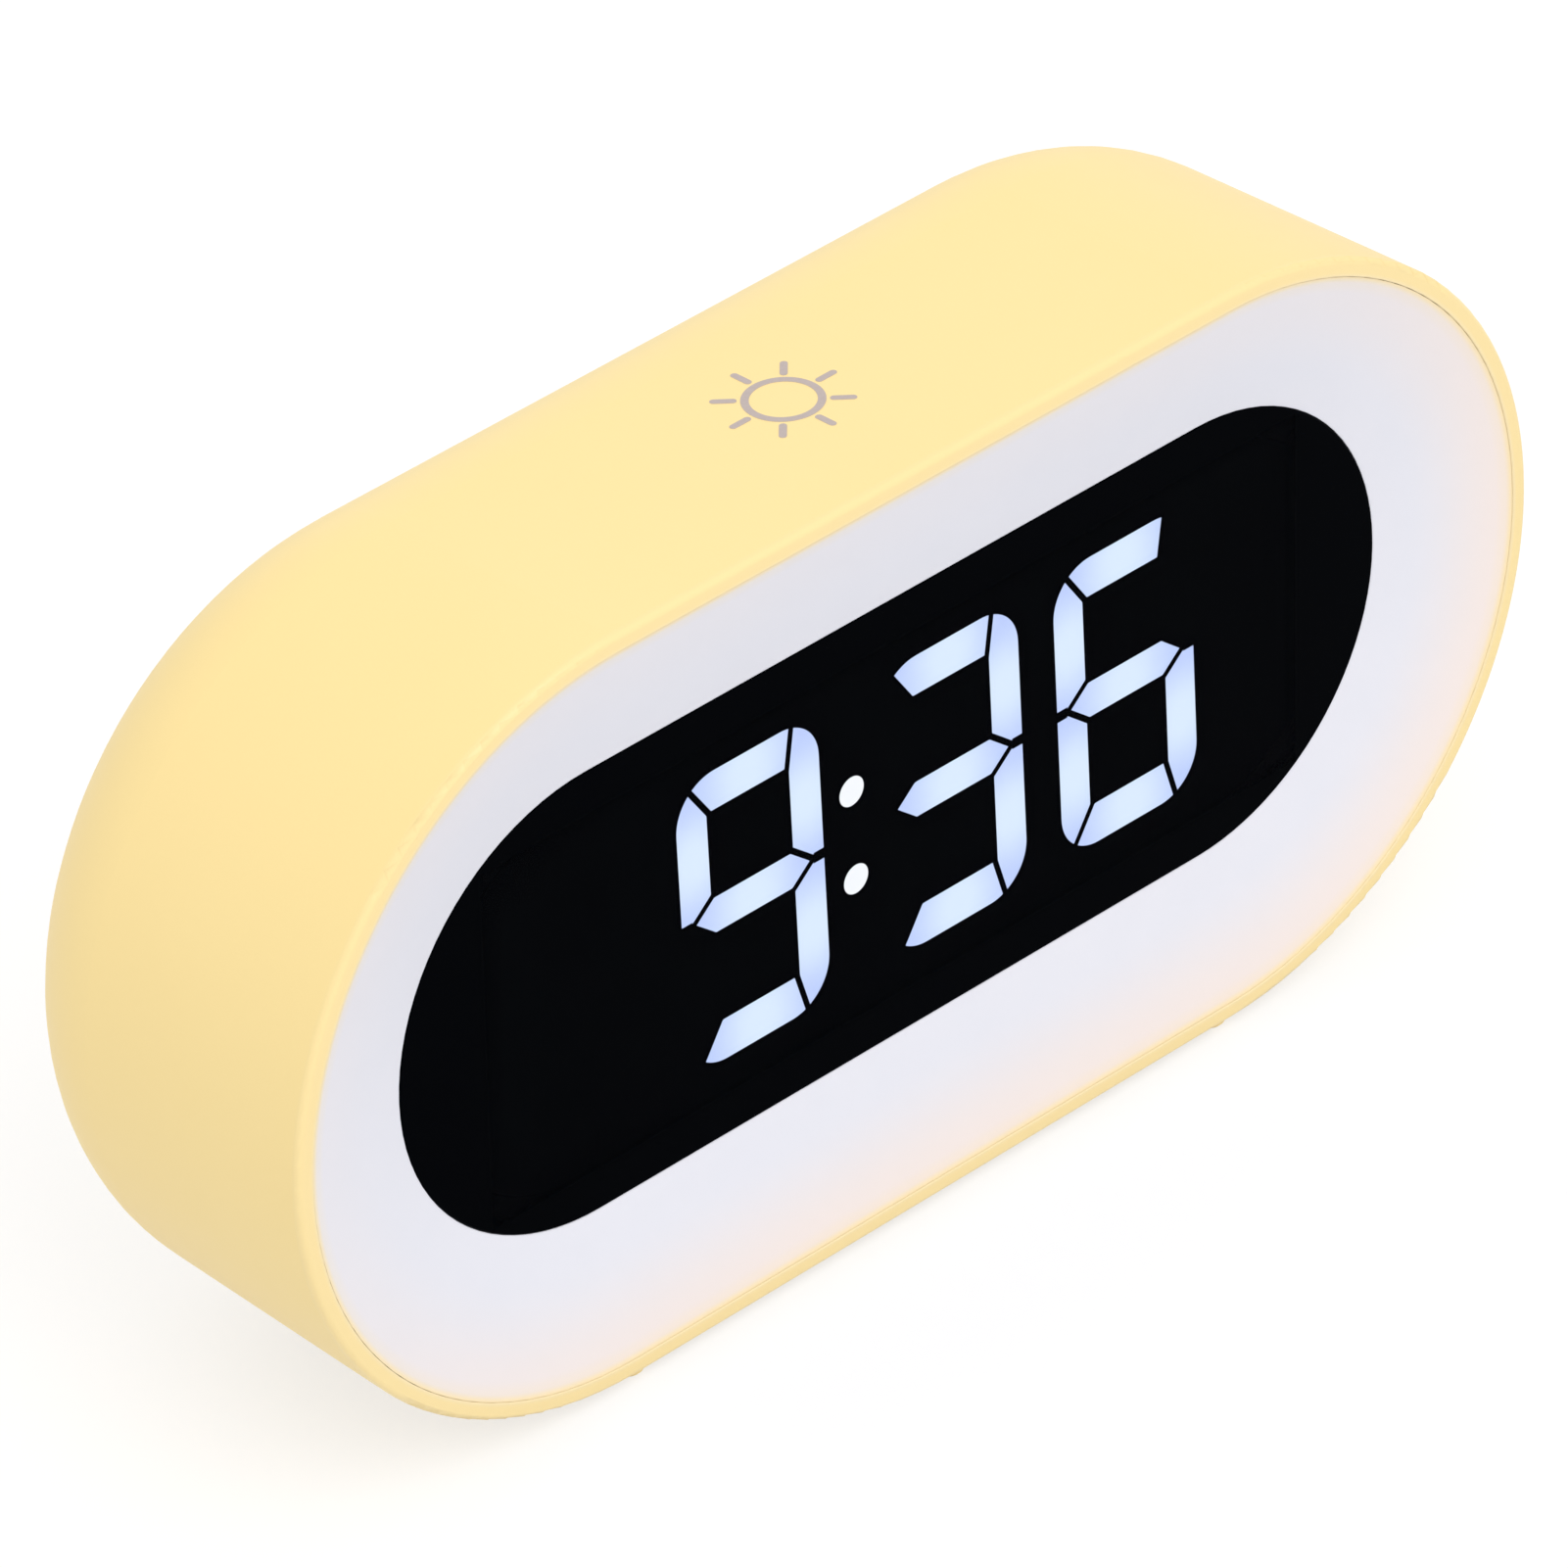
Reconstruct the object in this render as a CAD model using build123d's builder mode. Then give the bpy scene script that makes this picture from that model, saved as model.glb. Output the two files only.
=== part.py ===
from build123d import *
from math import hypot, radians, tan
import os

os.makedirs("parts", exist_ok=True)

# Lengths are in millimetres. The clock faces -Y, +Z is up, and the origin is on the table
# under the middle of the case. A depth is counted rearward from the front rim.

# Digits: seven-segment figures that show 9:36, with the first figure dark
digit_width = 17.1
digit_height = 30.3
digit_corner = 4.6
digit_slant = -2.0
digit_pitch = 21.5
colon_pitch = 24.4
stroke_width = 3.6
top_bar = 4.0
middle_bar = 3.65
foot_bar = 4.2
middle_rise = 0.3
middle_point = 1.25
segment_gap = 0.62
column_gap = 1.1
top_left_mitre = 2.25
top_right_mitre = 0.65
foot_left_mitre = 2.45
foot_right_mitre = 1.0
segment_thick = 1.5
colon_diameter = 2.95
colon_rise = 4.65
digit_drop = 0.35
shown_figures = ("dark", "nine", "three", "six")

# Display lens and the tape that holds it
lens_margin_left = 12.55
lens_margin_right = 22.25
lens_margin_edge = 7.5
lens_recess = 4.2
lens_rise = 0.1
lens_thick = 0.8
lens_chamfer = 0.1
lens_gap = 0.05
tape_thick = 0.2
tape_inset = 0.4
lens_seat = 3.2

# Diffuser: a dished milky ring with a skirt that goes into the case
ring_width = 15.57
ring_recess = 0.12
ring_thick = 2.0
skirt_depth = 8.0
skirt_thick = 1.6
skirt_gap = 0.04
ledge_thick = 1.6
ledge_rib = 2.0

# Display frame behind the lens, with a boss for a case screw at each end
flange_thick = 1.6
frame_wall = 1.4
frame_gap = 0.2
boss_radius = 3.3
boss_lap = 0.4

# Reflector and main board
reflector_gap = 0.05
reflector_fit = 0.2
reflector_share = 0.45
board_thick = 1.6
board_edge_gap = 2.1
led_length = 3.5
led_width = 2.8
led_height = 0.8
led_edge = 10.4
led_side_count = 6
led_end_count = 3
led_end_sweep = 120
digit_led_length = 2.0
digit_led_width = 1.2
chip_size = 10.0
chip_height = 1.5
chip_x = -6.0
chip_z = -22.0

# Case: a cup with a drafted wall and a large round at the rear
case_depth = 41.0
case_wall = 1.77
back_wall = 2.0
case_draft = 1.9
rear_round = 14.0
front_round = 0.6
rim_round = 0.15
rib_thick = 1.5
rib_pitch = 20.0
rib_count = 4
rib_gap = 0.3

# Feet: plugs pressed into the underside
foot_x = 36.3
front_foot_depth = 2.2
rear_foot_inset = 16.0
foot_diameter = 2.8
foot_height = 0.9
foot_seat = 1.0
foot_fit = 0.05
foot_chamfer = 0.25

# Case screws and the hollow posts that they go through
post_radius = 4.2
post_end = 4.0
screw_head_diameter = 5.4
screw_head_height = 2.0
screw_diameter = 2.9
screw_bite_share = 0.6
screw_gap = 0.2
screw_tip_room = 0.4
cross_length = 3.0
cross_width = 0.7
cross_depth = 1.0

# Battery bay with three cells side by side
bay_x = -17.0
bay_wall = 1.6
bay_side_gap = 0.4
cell_diameter = 10.3
cell_length = 44.5
cell_pitch = 11.0
cell_count = 3
cell_round = 0.5
cell_floor_gap = 0.15
cell_door_gap = 0.4
nub_diameter = 3.8
nub_length = 0.9
plate_thick = 0.4
plate_height = 8.0
spring_gap = 3.2
spring_strip = 0.3
spring_width = 6.0
tail_width = 3.0
tail_reach = 2.0
tail_slot_gap = 0.2
peg_radius = 2.0
peg_offset_x = 13.0
peg_offset_z = 10.0

# Battery door: tips out about its lower outer edge on two tabs
door_thick = 1.6
door_lap = 1.3
door_gap = 0.25
door_seat_gap = 0.05
door_corner = 3.0
door_edge_round = 0.3
tab_width = 7.0
tab_thick = 1.2
tab_reach = 2.0
tab_gap = 0.15
tab_spacing = 30.0
tab_side_gap = 0.4
scoop_width = 12.0
scoop_height = 5.0
scoop_depth = 1.2
groove_count = 3
groove_pitch = 1.6
groove_length = 12.0
groove_width = 0.8
groove_depth = 0.5
groove_drop = 6.5

# Key board on stand-offs behind the rear wall
key_board_x = 28.0
key_board_width = 31.0
key_board_height = 36.0
standoff_radius = 2.5
standoff_places = ((29.5, 15.2), (29.5, -15.2), (41.0, -14.5))
key_screw_diameter = 1.9
key_screw_length = 6.5
key_screw_head = 4.0
key_screw_head_height = 1.4

# Push buttons and their switches
button_names = ("set", "up", "down", "alarm")
button_x = 21.0
button_pitch = 9.0
button_length = 8.6
button_height = 4.6
button_side_gap = 0.2
button_round = 0.4
button_sink = 0.1
button_flange_lap = 0.8
button_flange_thick = 1.0
button_flange_gap = 0.1
button_stem_radius = 1.6
recess_margin = 2.0
recess_depth = 0.8
switch_size = 6.0
switch_height = 3.5
plunger_diameter = 3.4
plunger_length = 3.0
plunger_proud = 1.5
plunger_room = 0.6
plunger_gap = 0.2

# Buzzer and power inlet on the key board
buzzer_x = 36.5
buzzer_z = 7.0
buzzer_diameter = 12.0
buzzer_height = 8.5
buzzer_gap = 0.9
buzzer_port = 2.0
sound_hole = 1.5
sound_ring = 3.2
sound_count = 6
usb_x = 36.5
usb_z = -8.0
usb_length = 8.94
usb_height = 3.26
usb_shell = 0.3
usb_depth = 6.5
usb_sink = 0.9
usb_gap = 0.3
tongue_length = 6.65
tongue_thick = 0.7
tongue_sink = 0.8

# Stacking header between the two boards
link_x = 28.0
link_z = 4.0
link_pin_count = 6
link_pin_pitch = 2.54
link_pin = 0.64
link_pin_gap = 0.1
link_width = 2.6
link_end = 0.2
link_header_height = 2.5
link_gap = 0.4

# Touch pad under the printed symbol, and the leads
pad_x = -1.0
pad_diameter = 11.5
pad_thick = 0.2
pad_place_share = 0.353
touch_lead_offset = 3.5
touch_lead_drop = 4.3
touch_lead_gap = 0.02
touch_lead_bend = 2.0
notch_width = 10.0
notch_height = 3.0
lead_diameter = 1.2
lead_shift = 5.0
lead_straight_share = 0.28
lead_bend_share = 0.35

# Sizes that follow from those above
digits_span = 2 * digit_pitch + colon_pitch + digit_width
lens_width = lens_margin_left + digits_span + lens_margin_right
lens_height = digit_height + 2 * lens_margin_edge
case_width = lens_width + 2 * ring_width
case_height = lens_height + 2 * ring_width
straight_run = case_width - case_height
case_half = case_height / 2
cavity_half = case_half - case_wall
lens_half = lens_height / 2
frame_inner_half = lens_half - lens_seat
frame_outer_half = frame_inner_half + frame_wall
board_half = cavity_half - board_edge_gap
front_y = -case_depth / 2
centre_z = foot_height + case_half

lens_back = lens_recess + lens_thick
flange_front = lens_back + tape_thick
flange_back = flange_front + flange_thick
ledge_back = flange_back + ledge_thick
inner_back = case_depth - back_wall
rear_foot_depth = case_depth - rear_foot_inset
pad_room = case_depth - rear_round - skirt_depth - pad_diameter
pad_depth = skirt_depth + pad_place_share * pad_room + pad_diameter / 2

door_inner = case_depth - door_thick
cell_depth = door_inner - cell_door_gap - cell_diameter / 2
bay_floor = cell_depth - cell_diameter / 2 - cell_floor_gap
bay_front = bay_floor - bay_wall
reflector_front = lens_back + reflector_gap
reflector_depth = reflector_share * (bay_front - board_thick - reflector_front)
board_front = reflector_front + reflector_depth
board_back = board_front + board_thick
post_x = straight_run / 2 + frame_inner_half - boss_radius + boss_lap
screw_seat = board_back + post_end
screw_tip = board_front - screw_bite_share * (board_front - flange_back)

bay_length = cell_length + spring_gap + 2 * plate_thick
bay_height = cell_count * cell_pitch + bay_side_gap
door_width = bay_length + 2 * door_lap
door_height = bay_height + 2 * door_lap
tab_back = inner_back - tab_gap
tab_front = tab_back - tab_thick
tab_swing = hypot(case_depth - tab_front, tab_reach)
tab_places = [(bay_x - tab_spacing / 2, -door_height / 2), (bay_x + tab_spacing / 2, -door_height / 2)]

standoff_length = buzzer_height + buzzer_gap
key_board_back = inner_back - standoff_length
key_board_front = key_board_back - board_thick
switch_top = key_board_back + switch_height
plunger_tip = switch_top + plunger_proud
button_flange_back = inner_back - button_flange_gap
button_flange_front = button_flange_back - button_flange_thick
button_top = case_depth - button_sink
usb_mouth = case_depth - usb_sink

digit_places = [-lens_width / 2 + lens_margin_left + digit_width / 2]
for step in (digit_pitch, colon_pitch, digit_pitch):
    digit_places.append(digit_places[-1] + step)
colon_place = (digit_places[1] + digit_places[2]) / 2
cell_rises = [cell_pitch * (index - (cell_count - 1) / 2) for index in range(cell_count)]
button_rises = [button_pitch * ((len(button_names) - 1) / 2 - index) for index in range(len(button_names))]


def front_view(depth):
    """Plane seen from the front, at a depth behind the front rim, facing the viewer."""
    return Plane(origin=(0, front_y + depth, centre_z), x_dir=(1, 0, 0), z_dir=(0, -1, 0))


def rear_view(depth):
    """Plane seen from the rear, at a depth behind the front rim, facing rearward."""
    return Plane(origin=(0, front_y + depth, centre_z), x_dir=(-1, 0, 0), z_dir=(0, 1, 0))


def place(x, depth, rise):
    """Point at a distance right of the middle, a depth behind the rim and a rise over the middle."""
    return Vector(x, front_y + depth, centre_z + rise)


def draft_inset(depth):
    """How far the drafted wall has come in at a depth."""
    return depth * tan(radians(case_draft))


def stadium(half_height, mode=Mode.ADD):
    """Full-round outline that the case, ring, lens and boards share."""
    return SlotOverall(straight_run + 2 * half_height, 2 * half_height, mode=mode)


def lean(x, rise):
    """Point of a figure, moved sideways by the slant that all the figures share."""
    return (x + rise * tan(radians(digit_slant)), rise)


def slanted_box(half_width, low, high):
    """Corners of a box between two heights, with slanted sides."""
    return [lean(-half_width, low), lean(half_width, low), lean(half_width, high), lean(-half_width, high)]


def figure_segments():
    """One seven-segment figure, cut along its gaps into faces named a to g."""
    half_width = digit_width / 2
    half_height = digit_height / 2
    window_x = half_width - stroke_width
    window_top = half_height - top_bar
    window_foot = foot_bar - half_height
    bar_top = middle_rise + middle_bar / 2
    bar_bottom = middle_rise - middle_bar / 2
    point_x = half_width - middle_point
    outside = segment_gap
    with BuildSketch() as figure:
        with BuildLine():
            Polyline(*slanted_box(half_width, -half_height, half_height), close=True)
        make_face()
        fillet(figure.vertices(), digit_corner)
        for low, high in ((window_foot, bar_bottom), (bar_top, window_top)):
            with BuildLine():
                Polyline(*slanted_box(window_x, low, high), close=True)
            make_face(mode=Mode.SUBTRACT)
        with BuildLine():
            for end, window_end, left_mitre, right_mitre in (
                (1, window_top, top_left_mitre, top_right_mitre),
                (-1, window_foot, foot_left_mitre, foot_right_mitre),
            ):
                inner_end = window_end - end * outside
                outer_end = end * (half_height + outside)
                Line(lean(outside - window_x, inner_end), lean(-window_x - left_mitre - outside, outer_end))
                Line(lean(window_x - right_mitre / 2, inner_end), lean(window_x + right_mitre, outer_end))
            for side in (-1, 1):
                for bar_edge, into in ((bar_top, outside), (bar_bottom, -outside)):
                    bar_corner = lean(side * (window_x - outside), bar_edge + into)
                    Line(bar_corner, lean(side * point_x, middle_rise))
        trace(line_width=segment_gap, mode=Mode.SUBTRACT)
        with BuildLine():
            for side in (-1, 1):
                Line(lean(side * point_x, middle_rise), lean(side * (half_width + outside), middle_rise))
        trace(line_width=column_gap, mode=Mode.SUBTRACT)
    faces = figure.sketch.faces()
    column = faces.filter_by(lambda face: abs(face.center().X) < window_x / 2).sort_by(Axis.Y)
    left = faces.filter_by(lambda face: face.center().X < -window_x / 2).sort_by(Axis.Y)
    right = faces.filter_by(lambda face: face.center().X > window_x / 2).sort_by(Axis.Y)
    return {
        "a": column[2],
        "b": right[1],
        "c": right[0],
        "d": column[0],
        "e": left[0],
        "f": left[1],
        "g": column[1],
    }


segments = figure_segments()
segments_of = {"dark": "", "nine": "abcdfg", "three": "abcdg", "six": "acdefg"}
lit_places = []
dark_places = []
for digit_x, figure in zip(digit_places, shown_figures):
    for name in segments:
        group = lit_places if name in segments_of[figure] else dark_places
        group.append((digit_x, name))
colon_places = []
for offset_rise in (-colon_rise, colon_rise):
    colon_x, colon_z = lean(colon_place, middle_rise + offset_rise)
    colon_places.append((colon_x, colon_z - digit_drop))

# Inside of the case, cut from the shell
with BuildPart() as cavity:
    with BuildSketch(rear_view(0)):
        stadium(cavity_half)
    extrude(amount=inner_back, taper=case_draft)
    fillet(cavity.faces().sort_by(Axis.Y)[-1].edges(), rear_round - case_wall)

# Case shell: yellow cup, open at the front
with BuildPart() as case_shell:
    with BuildSketch(rear_view(0)):
        stadium(case_half)
    extrude(amount=case_depth, taper=case_draft)
    fillet(case_shell.faces().sort_by(Axis.Y)[-1].edges(), rear_round)
    fillet(case_shell.faces().sort_by(Axis.Y)[0].edges(), front_round)
    add(cavity.part, mode=Mode.SUBTRACT)
    fillet(case_shell.faces().sort_by(Axis.Y)[0].inner_wires()[0].edges(), rim_round)
    # Ribs that stop the diffuser's skirt and guide the main board
    with BuildSketch(front_view(case_depth - rear_round)):
        rib_height = cavity_half + case_wall / 2 - board_half - rib_gap
        with GridLocations(rib_pitch, 2 * (board_half + rib_gap) + rib_height, rib_count, 2):
            Rectangle(rib_thick, rib_height)
    extrude(amount=case_depth - rear_round - skirt_depth)
    # Solid masses behind the rear wall: bay box with pegs, screw posts and stand-offs
    with BuildSketch(front_view(case_depth - back_wall / 2)):
        with Locations((bay_x, 0)):
            Rectangle(bay_length + 2 * bay_wall, bay_height + 2 * bay_wall)
    extrude(amount=case_depth - back_wall / 2 - bay_front)
    with BuildSketch(front_view(bay_floor - bay_wall / 2)):
        with Locations((bay_x - peg_offset_x, peg_offset_z), (bay_x + peg_offset_x, -peg_offset_z)):
            Circle(peg_radius)
    extrude(amount=bay_floor - bay_wall / 2 - board_back)
    with BuildSketch(front_view(case_depth - back_wall / 2)):
        with Locations((-post_x, 0), (post_x, 0)):
            Circle(post_radius)
    extrude(amount=case_depth - back_wall / 2 - board_back)
    with BuildSketch(front_view(case_depth - back_wall / 2)):
        with Locations(*standoff_places):
            Circle(standoff_radius)
    extrude(amount=case_depth - back_wall / 2 - key_board_back)
    # Bay hollow, door opening, finger scoop and the tab notches
    with BuildSketch(front_view(case_depth)):
        with Locations((bay_x, 0)):
            Rectangle(bay_length, bay_height)
    extrude(amount=case_depth - bay_floor, mode=Mode.SUBTRACT)
    with BuildSketch(front_view(case_depth)):
        with Locations((bay_x, 0)):
            RectangleRounded(door_width + 2 * door_gap, door_height + 2 * door_gap, door_corner + door_gap)
    extrude(amount=door_thick + door_seat_gap, mode=Mode.SUBTRACT)
    with BuildSketch(front_view(case_depth)):
        with Locations((bay_x, door_height / 2)):
            SlotOverall(scoop_width, scoop_height)
    extrude(amount=scoop_depth, mode=Mode.SUBTRACT)
    notch_front = case_depth - tab_swing - tab_side_gap
    with BuildSketch(front_view(door_inner)):
        with Locations(*[(x, -(bay_height + bay_wall) / 2) for x, _ in tab_places]):
            Rectangle(tab_width + 2 * tab_side_gap, bay_wall)
    extrude(amount=door_inner - notch_front, mode=Mode.SUBTRACT)
    # Slots in the bay floor for the tails of the end contacts
    with BuildSketch(front_view(bay_floor)):
        tail_x = (bay_length - plate_thick) / 2
        with Locations((bay_x - tail_x, cell_rises[-1]), (bay_x + tail_x, cell_rises[0])):
            Rectangle(plate_thick + 2 * tail_slot_gap, tail_width + 2 * tail_slot_gap)
    extrude(amount=bay_wall, mode=Mode.SUBTRACT)
    # Screw holes: deep head holes from the rear, and pilots in the stand-offs
    with BuildSketch(front_view(case_depth)):
        with Locations((-post_x, 0), (post_x, 0)):
            Circle(screw_head_diameter / 2 + screw_gap)
    extrude(amount=case_depth - screw_seat, mode=Mode.SUBTRACT)
    with BuildSketch(front_view(screw_seat)):
        with Locations((-post_x, 0), (post_x, 0)):
            Circle(screw_diameter / 2 + screw_gap)
    extrude(amount=post_end, mode=Mode.SUBTRACT)
    with BuildSketch(front_view(key_board_front + key_screw_length + screw_tip_room)):
        with Locations(*standoff_places):
            Circle(key_screw_diameter / 2)
    extrude(amount=key_screw_length + screw_tip_room - board_thick, mode=Mode.SUBTRACT)
    # Sunken field with the four button holes
    recess_length = button_pitch * (len(button_names) - 1) + button_height + 2 * recess_margin
    with BuildSketch(front_view(case_depth)):
        with Locations((button_x, 0)):
            SlotOverall(recess_length, button_length + 2 * recess_margin, rotation=90)
    extrude(amount=recess_depth, mode=Mode.SUBTRACT)
    with BuildSketch(front_view(case_depth)):
        with Locations(*[(button_x, rise) for rise in button_rises]):
            SlotOverall(button_length + 2 * button_side_gap, button_height + 2 * button_side_gap)
    extrude(amount=back_wall, mode=Mode.SUBTRACT)
    # Inlet slot and sound holes
    with BuildSketch(front_view(case_depth)):
        with Locations((usb_x, usb_z)):
            SlotOverall(usb_length + 2 * usb_gap, usb_height + 2 * usb_gap)
        with Locations((buzzer_x, buzzer_z)):
            Circle(sound_hole / 2)
            with PolarLocations(sound_ring, sound_count):
                Circle(sound_hole / 2)
    extrude(amount=back_wall, mode=Mode.SUBTRACT)
    # Blind holes for the feet
    for foot_depth in (front_foot_depth, rear_foot_depth):
        foot_top = foot_height + draft_inset(foot_depth) + foot_seat
        with BuildSketch(Plane.XY):
            with Locations((-foot_x, front_y + foot_depth), (foot_x, front_y + foot_depth)):
                Circle(foot_diameter / 2 + foot_fit)
        extrude(amount=foot_top, mode=Mode.SUBTRACT)
case_shell.part.label = "case_shell"
export_step(case_shell.part, "parts/case_shell.step")

# Feet: four small rubber plugs, longer at the rear because the underside is drafted
with BuildPart() as rubber_feet:
    for foot_depth in (front_foot_depth, rear_foot_depth):
        with BuildSketch(Plane.XY):
            with Locations((-foot_x, front_y + foot_depth), (foot_x, front_y + foot_depth)):
                Circle(foot_diameter / 2)
        extrude(amount=foot_height + draft_inset(foot_depth) + foot_seat)
    chamfer(rubber_feet.faces().group_by(Axis.Z)[0].edges(), foot_chamfer)
rubber_feet.part.label = "rubber_feet"
export_step(rubber_feet.part, "parts/rubber_feet.step")

# Diffuser: one section taken round the stadium
ring_outer = cavity_half - skirt_gap
skirt_outer = cavity_half - skirt_gap - draft_inset(skirt_depth)
skirt_inner = skirt_outer - skirt_thick
ring_edge = lens_recess + lens_rise
ring_slope = (ring_edge - ring_recess) / (ring_outer - lens_half)
ledge_inner = frame_outer_half + frame_gap
rib_outer = lens_half + ledge_rib


def ring_back(half_height):
    """Depth of the ring's rear face at a distance from the long axis."""
    return ring_recess + ring_slope * (ring_outer - half_height) + ring_thick


with BuildPart() as diffuser:
    run_end = straight_run / 2
    with BuildLine(front_view(ring_recess)) as ring_path:
        Line((0, ring_outer), (run_end, ring_outer))
        ThreePointArc((run_end, ring_outer), (run_end + ring_outer, 0), (run_end, -ring_outer))
        Line((run_end, -ring_outer), (-run_end, -ring_outer))
        ThreePointArc((-run_end, -ring_outer), (-run_end - ring_outer, 0), (-run_end, ring_outer))
        Line((-run_end, ring_outer), (0, ring_outer))
    with BuildSketch(Plane(origin=place(0, 0, 0), x_dir=(0, 1, 0), z_dir=(1, 0, 0))):
        with BuildLine():
            Polyline(
                (ring_recess, ring_outer),
                (ring_edge, lens_half),
                (flange_back, lens_half),
                (flange_back, ledge_inner),
                (ledge_back, ledge_inner),
                (ledge_back, rib_outer),
                (ring_back(rib_outer), rib_outer),
                (ring_back(skirt_inner), skirt_inner),
                (skirt_depth, skirt_inner),
                (skirt_depth, skirt_outer),
                close=True,
            )
        make_face()
    sweep(path=ring_path.wires()[0])
diffuser.part.label = "diffuser"
export_step(diffuser.part, "parts/diffuser.step")

# Display frame: flange under the lens, a light wall round the digits and two screw bosses
with BuildPart() as display_frame:
    with BuildSketch(front_view(flange_back)):
        stadium(lens_half - lens_gap)
        stadium(frame_inner_half, mode=Mode.SUBTRACT)
    extrude(amount=flange_thick)
    with BuildSketch(front_view(board_front)):
        stadium(frame_outer_half)
        stadium(frame_inner_half, mode=Mode.SUBTRACT)
    extrude(amount=board_front - flange_back)
    with BuildSketch(front_view(board_front)):
        with Locations((-post_x, 0), (post_x, 0)):
            Circle(boss_radius)
    extrude(amount=board_front - flange_back)
    with BuildSketch(front_view(board_front)):
        with Locations((-post_x, 0), (post_x, 0)):
            Circle(screw_diameter / 2)
    extrude(amount=board_front - screw_tip + screw_tip_room, mode=Mode.SUBTRACT)
display_frame.part.label = "display_frame"
export_step(display_frame.part, "parts/display_frame.step")

# Lens: smoked acrylic with a polished edge, let into the ring and taped to the frame
with BuildPart() as display_lens:
    with BuildSketch(front_view(lens_back)):
        stadium(lens_half - lens_gap)
    extrude(amount=lens_thick)
    chamfer(display_lens.faces().sort_by(Axis.Y)[0].edges(), lens_chamfer)
display_lens.part.label = "display_lens"
export_step(display_lens.part, "parts/display_lens.step")

with BuildPart() as lens_tape:
    with BuildSketch(front_view(flange_front)):
        stadium(lens_half - lens_gap - tape_inset)
        stadium(frame_inner_half, mode=Mode.SUBTRACT)
    extrude(amount=tape_thick)
lens_tape.part.label = "lens_tape"
export_step(lens_tape.part, "parts/lens_tape.step")

# Digit reflector: black block with a light well for each segment
with BuildPart() as digit_reflector:
    with BuildSketch(front_view(board_front)):
        stadium(frame_inner_half - reflector_fit)
        block_half_length = post_x - boss_radius - reflector_fit
        Rectangle(2 * block_half_length, lens_height, mode=Mode.INTERSECT)
        for digit_x in digit_places:
            with Locations((digit_x, -digit_drop)):
                add(segments.values(), mode=Mode.SUBTRACT)
        with Locations(*colon_places):
            Circle(colon_diameter / 2, mode=Mode.SUBTRACT)
    extrude(amount=reflector_depth)
digit_reflector.part.label = "digit_reflector"
export_step(digit_reflector.part, "parts/digit_reflector.step")

# Segment plugs of milky resin at the front of the wells
with BuildPart() as lit_segments:
    with BuildSketch(front_view(reflector_front + segment_thick)):
        for digit_x, name in lit_places:
            with Locations((digit_x, -digit_drop)):
                add(segments[name])
    extrude(amount=segment_thick)
lit_segments.part.label = "lit_segments"
export_step(lit_segments.part, "parts/lit_segments.step")

with BuildPart() as dark_segments:
    with BuildSketch(front_view(reflector_front + segment_thick)):
        for digit_x, name in dark_places:
            with Locations((digit_x, -digit_drop)):
                add(segments[name])
    extrude(amount=segment_thick)
dark_segments.part.label = "dark_segments"
export_step(dark_segments.part, "parts/dark_segments.step")

with BuildPart() as colon_dots:
    with BuildSketch(front_view(reflector_front + segment_thick)):
        with Locations(*colon_places):
            Circle(colon_diameter / 2)
    extrude(amount=segment_thick)
colon_dots.part.label = "colon_dots"
export_step(colon_dots.part, "parts/colon_dots.step")

# Main board, clamped between the posts and the display frame
with BuildPart() as main_board:
    with BuildSketch(front_view(board_back)):
        stadium(board_half)
        with Locations((-post_x, 0), (post_x, 0)):
            Circle(screw_diameter / 2 + screw_gap, mode=Mode.SUBTRACT)
        with Locations((pad_x, board_half)):
            Rectangle(notch_width, 2 * notch_height, mode=Mode.SUBTRACT)
    extrude(amount=board_thick)
main_board.part.label = "main_board"
export_step(main_board.part, "parts/main_board.step")

# Night light: flat white diodes round the board, under the diffuser
led_half = case_half - led_edge
with BuildPart() as night_light_leds:
    with BuildSketch(front_view(board_front)):
        with GridLocations(straight_run / led_side_count, 2 * led_half, led_side_count, 2):
            Rectangle(led_length, led_width)
        for side, facing in ((-1, 180), (1, 0)):
            first_angle = facing - led_end_sweep / 2
            with Locations((side * straight_run / 2, 0)):
                with PolarLocations(led_half, led_end_count, first_angle, led_end_sweep, endpoint=True):
                    Rectangle(led_width, led_length)
    extrude(amount=led_height)
night_light_leds.part.label = "night_light_leds"
export_step(night_light_leds.part, "parts/night_light_leds.step")

# Digit diodes: one at the foot of each light well
with BuildPart() as digit_leds:
    with BuildSketch(front_view(board_front)):
        for digit_x, name in lit_places + dark_places:
            middle = segments[name].center()
            upright = 0 if name in "adg" else 90
            with Locations((digit_x + middle.X, middle.Y - digit_drop)):
                Rectangle(digit_led_length, digit_led_width, rotation=upright)
        with Locations(*colon_places):
            Rectangle(digit_led_length, digit_led_width)
    extrude(amount=led_height)
digit_leds.part.label = "digit_leds"
export_step(digit_leds.part, "parts/digit_leds.step")

with BuildPart() as controller_chip:
    with BuildSketch(front_view(board_back + chip_height)):
        with Locations((chip_x, chip_z)):
            Rectangle(chip_size, chip_size)
    extrude(amount=chip_height)
controller_chip.part.label = "controller_chip"
export_step(controller_chip.part, "parts/controller_chip.step")

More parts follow.
